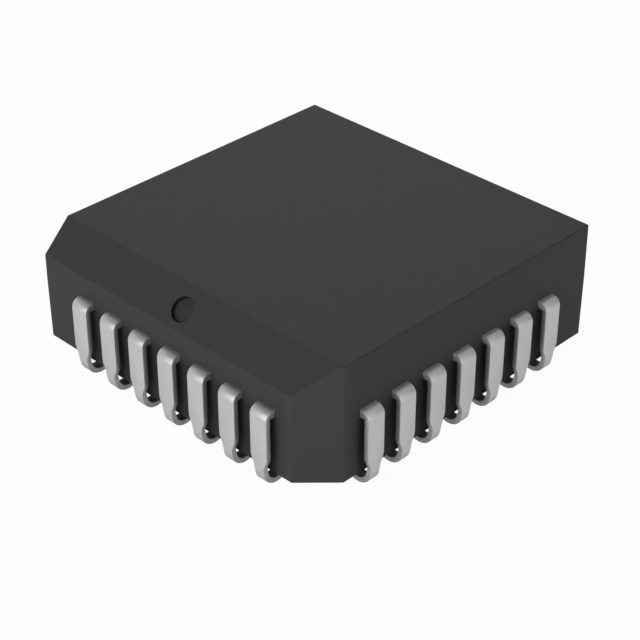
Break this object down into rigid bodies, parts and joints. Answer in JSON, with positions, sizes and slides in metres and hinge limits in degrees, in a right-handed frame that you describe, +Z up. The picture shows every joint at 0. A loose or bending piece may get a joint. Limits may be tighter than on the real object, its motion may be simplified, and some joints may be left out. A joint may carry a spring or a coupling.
{
  "type": "plastic leaded chip carrier",
  "caption": "Square black moulded chip carrier with J-shaped leads curled under all four sides, a bevelled pin-one edge with a round mark, and one chamfered corner.",
  "frame": {"origin": "centre of the seating plane that the lead feet touch", "axes": "+Z up through the top face, -Y towards the side with the bevelled pin-one edge, chamfered corner at +X -Y"},
  "size_m": [0.0122, 0.0122, 0.0043],
  "materials": {
    "mould_compound": "fine matt surface as moulded",
    "tinned_lead": "satin tin plate over copper alloy",
    "bare_copper": "satin, as rolled",
    "die_adhesive": "matt, silver-filled",
    "silicon": "polished dark grey",
    "gold_wire": "polished"
  },
  "bodies": {
    "root": {"moulded_body": "mould_compound", "die_pad": "bare_copper", "die_attach": "die_adhesive", "silicon_die": "silicon", "lead_01": "tinned_lead", "lead_02": "tinned_lead", "lead_03": "tinned_lead", "lead_04": "tinned_lead", "lead_05": "tinned_lead", "lead_06": "tinned_lead", "lead_07": "tinned_lead", "lead_08": "tinned_lead", "lead_09": "tinned_lead", "lead_10": "tinned_lead", "lead_11": "tinned_lead", "lead_12": "tinned_lead", "lead_13": "tinned_lead", "lead_14": "tinned_lead", "lead_15": "tinned_lead", "lead_16": "tinned_lead", "lead_17": "tinned_lead", "lead_18": "tinned_lead", "lead_19": "tinned_lead", "lead_20": "tinned_lead", "lead_21": "tinned_lead", "lead_22": "tinned_lead", "lead_23": "tinned_lead", "lead_24": "tinned_lead", "lead_25": "tinned_lead", "lead_26": "tinned_lead", "lead_27": "tinned_lead", "lead_28": "tinned_lead", "bond_wire_01": "gold_wire", "bond_wire_02": "gold_wire", "bond_wire_03": "gold_wire", "bond_wire_04": "gold_wire", "bond_wire_05": "gold_wire", "bond_wire_06": "gold_wire", "bond_wire_07": "gold_wire", "bond_wire_08": "gold_wire", "bond_wire_09": "gold_wire", "bond_wire_10": "gold_wire", "bond_wire_11": "gold_wire", "bond_wire_12": "gold_wire", "bond_wire_13": "gold_wire", "bond_wire_14": "gold_wire", "bond_wire_15": "gold_wire", "bond_wire_16": "gold_wire", "bond_wire_17": "gold_wire", "bond_wire_18": "gold_wire", "bond_wire_19": "gold_wire", "bond_wire_20": "gold_wire", "bond_wire_21": "gold_wire", "bond_wire_22": "gold_wire", "bond_wire_23": "gold_wire", "bond_wire_24": "gold_wire", "bond_wire_25": "gold_wire", "bond_wire_26": "gold_wire", "bond_wire_27": "gold_wire", "bond_wire_28": "gold_wire"}
  },
  "joints": []
}
